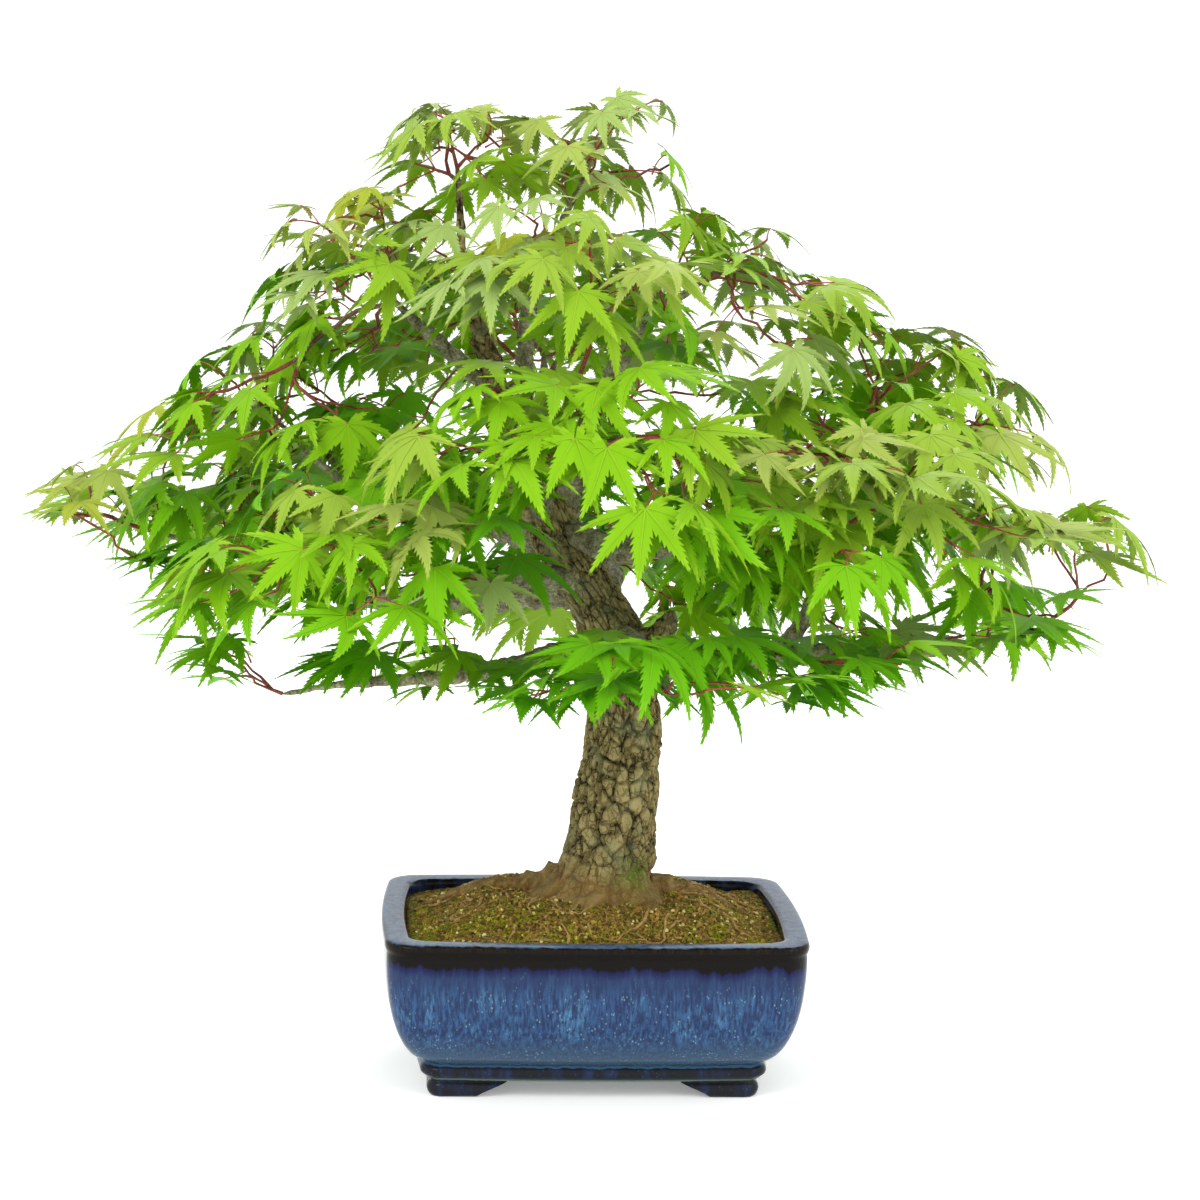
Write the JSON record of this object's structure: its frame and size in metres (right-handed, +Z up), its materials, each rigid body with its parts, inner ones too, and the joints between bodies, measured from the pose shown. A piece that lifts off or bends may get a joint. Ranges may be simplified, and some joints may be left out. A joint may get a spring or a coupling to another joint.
{
  "type": "japanese maple bonsai",
  "caption": "Japanese maple bonsai with a broad layered crown on a leaning, flared trunk, in a blue glazed rectangular pot on bracket feet.",
  "frame": {"origin": "on the floor, under the middle of the pot", "axes": "+Z up, +X to the right along the pot's long side, -Y towards the front of the pot"},
  "size_m": [0.6003, 0.3968, 0.5118],
  "materials": {
    "glaze": "gloss",
    "soil": "matte",
    "bark": "matte",
    "young_bark": "matte",
    "leaf": "satin"
  },
  "bodies": {
    "root": {"pot": "glaze", "soil": "soil", "trunk": "bark", "leader_left": "young_bark", "leader_right": "young_bark", "leader_back": "young_bark", "stem_top_right": "young_bark", "stem_upper_left": "young_bark", "bough_right_low": "young_bark", "bough_right_riser": "young_bark", "bough_right_front": "young_bark", "bough_front_low": "young_bark", "bough_front_high": "young_bark", "bough_front_left": "young_bark", "bough_left_lowest": "young_bark", "bough_left_low": "young_bark", "bough_left_mid": "young_bark", "bough_back_low": "young_bark", "bough_back_left": "young_bark", "bough_back_right": "young_bark", "foliage_top_left": "leaf", "foliage_top_right": "leaf", "foliage_upper_left": "leaf", "foliage_upper_front": "leaf", "foliage_upper_right": "leaf", "foliage_back_high": "leaf", "foliage_left_mid": "leaf", "foliage_left_tip": "leaf", "foliage_left_low": "leaf", "foliage_front_left": "leaf", "foliage_front_high": "leaf", "foliage_front_low": "leaf", "foliage_right_front": "leaf", "foliage_right_shoulder": "leaf", "foliage_right_tip": "leaf", "foliage_right_low": "leaf", "foliage_back_low": "leaf", "foliage_back_left": "leaf", "foliage_back_right": "leaf"}
  },
  "joints": []
}
